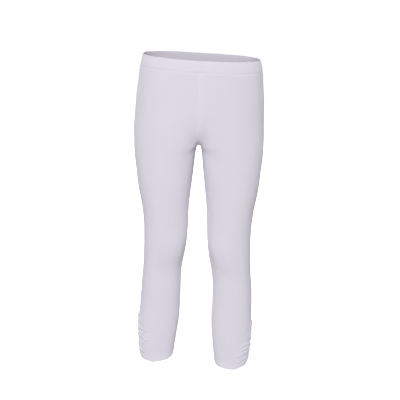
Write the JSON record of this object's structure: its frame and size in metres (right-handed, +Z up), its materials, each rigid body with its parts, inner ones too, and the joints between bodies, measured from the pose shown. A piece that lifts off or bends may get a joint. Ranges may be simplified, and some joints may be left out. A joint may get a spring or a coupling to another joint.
{
  "type": "capri leggings",
  "caption": "Capri leggings with a wide elastic waistband and gathered outer calves, standing open as when worn.",
  "frame": {"origin": "middle of the waistband, where the wearer's waist holds the garment", "axes": "+Z up from the hems to the waist, +X to the right as seen from the front, +Y from the front to the back"},
  "size_m": [0.34, 0.237, 0.8524],
  "materials": {
    "band": "matte",
    "jersey": "matte"
  },
  "bodies": {
    "root": {"waistband": "band", "front_left": "jersey", "front_right": "jersey", "back_left": "jersey", "back_right": "jersey"}
  },
  "joints": []
}
